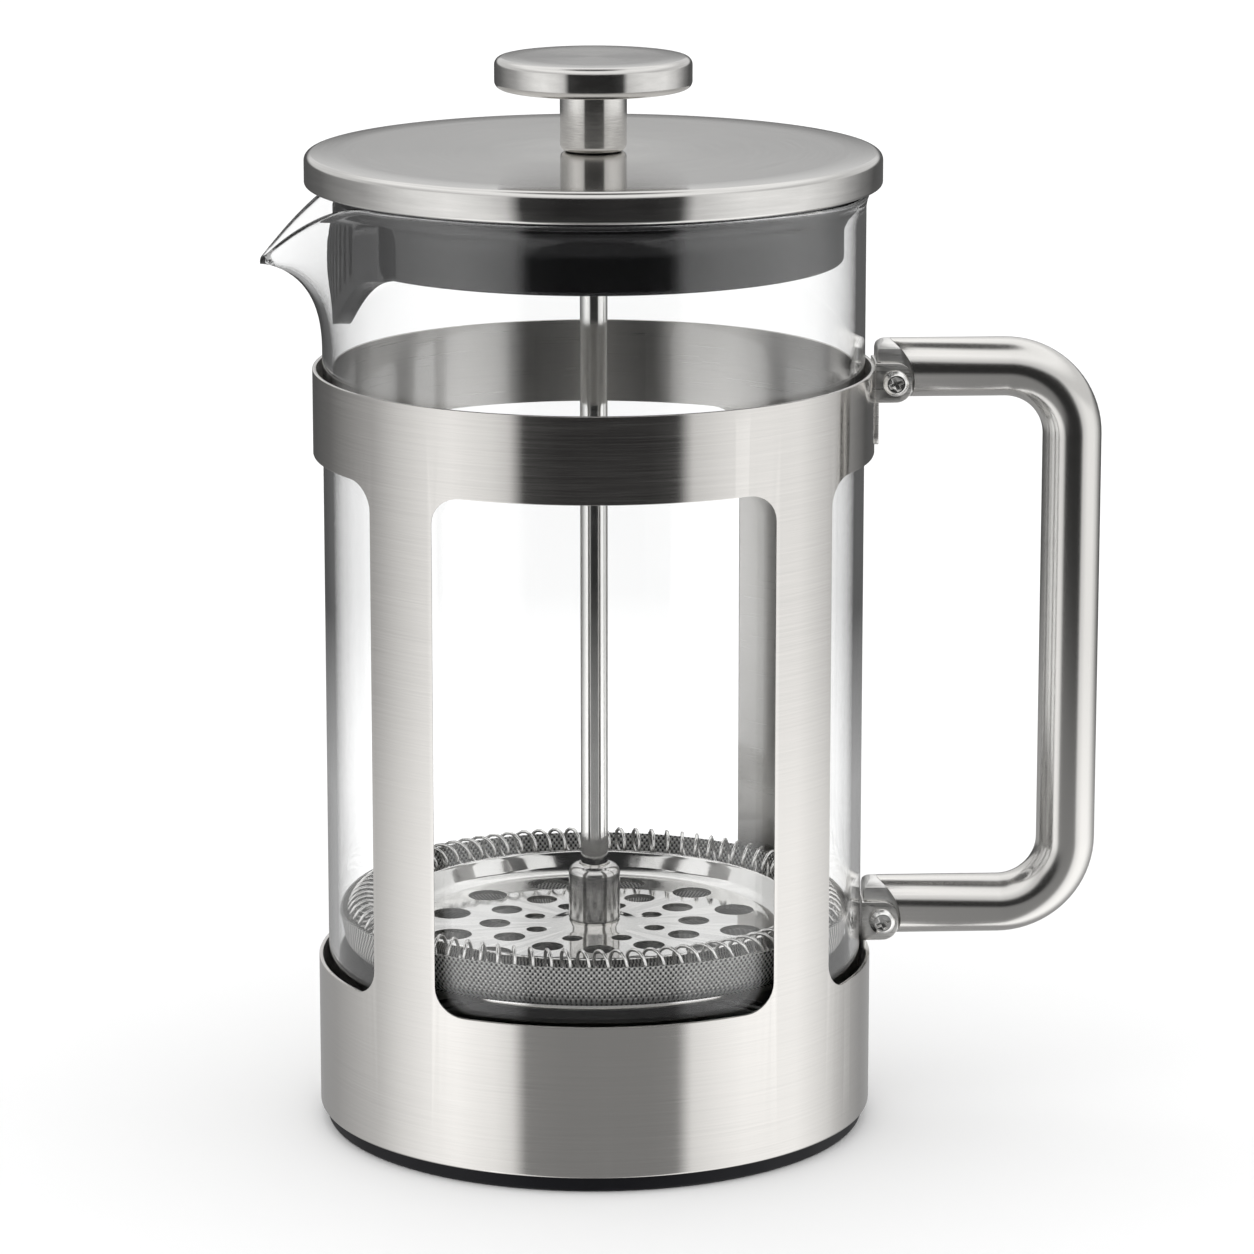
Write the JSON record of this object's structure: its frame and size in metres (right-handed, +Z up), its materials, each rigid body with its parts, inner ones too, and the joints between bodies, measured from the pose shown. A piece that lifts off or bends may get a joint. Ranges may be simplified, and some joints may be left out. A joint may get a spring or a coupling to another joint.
{
  "type": "french press",
  "caption": "Glass coffee press in a windowed steel cage with a bent tube handle, strainer lid and sprung filter plunger",
  "frame": {"origin": "where the beaker's axis meets the foot's resting face", "axes": "+Z up along the beaker's axis, +X towards the handle, -X towards the spout"},
  "size_m": [0.1533, 0.1044, 0.1973],
  "materials": {
    "black_plastic": "fine moulded texture",
    "soft_pad": "matt soft pad",
    "brushed_steel": "brushed round the axis",
    "bracket_steel": "tumbled bright sheet",
    "handle_steel": "brushed across the tube",
    "tang_steel": "fine ground grey",
    "polished_steel": "polished",
    "clear_glass": "clear, thin wall",
    "spun_steel": "spun with circular grain",
    "gloss_black": "glossy moulded",
    "turned_steel": "turned",
    "spring_steel": "bright drawn wire",
    "wire_mesh": "fine woven wire"
  },
  "bodies": {
    "cage": {"foot": "black_plastic", "seat_pad": "soft_pad", "frame": "brushed_steel", "upper_bracket": "bracket_steel", "lower_bracket": "bracket_steel", "handle_tube": "handle_steel", "upper_tang": "tang_steel", "lower_tang": "tang_steel", "handle_screws": "polished_steel"},
    "glass": {"beaker": "clear_glass"},
    "lid_guide": {"rod_bush": "black_plastic"},
    "lid": {"lid_shell": "spun_steel", "lid_liner": "gloss_black"},
    "plunger": {"knob_cap": "spun_steel", "knob_stem": "turned_steel", "plunger_rod": "polished_steel"},
    "filter": {"hub": "polished_steel", "top_plate": "polished_steel", "coil_ring": "spring_steel", "mesh_screen": "wire_mesh", "cross_plate": "polished_steel", "filter_nut": "polished_steel"}
  },
  "joints": [
    {"name": "beaker_lift", "type": "slide", "parent": "cage", "child": "glass", "axis": [0, 0, 1], "range_m": [0, 0.14]},
    {"name": "lid_lift", "type": "slide", "parent": "glass", "child": "lid_guide", "axis": [0, 0, 1], "range_m": [0, 0.15]},
    {"name": "lid_turn", "type": "hinge", "parent": "lid_guide", "child": "lid", "pos_m": [0, 0, 0.178], "axis": [0, 0, 1], "continuous": true},
    {"name": "plunge", "type": "slide", "parent": "lid_guide", "child": "plunger", "axis": [0, 0, 1], "range_m": [0, 0.105]},
    {"name": "filter_unscrew", "type": "hinge", "parent": "plunger", "child": "filter", "pos_m": [0, 0, 0.044], "axis": [0, 0, 1], "continuous": true}
  ]
}
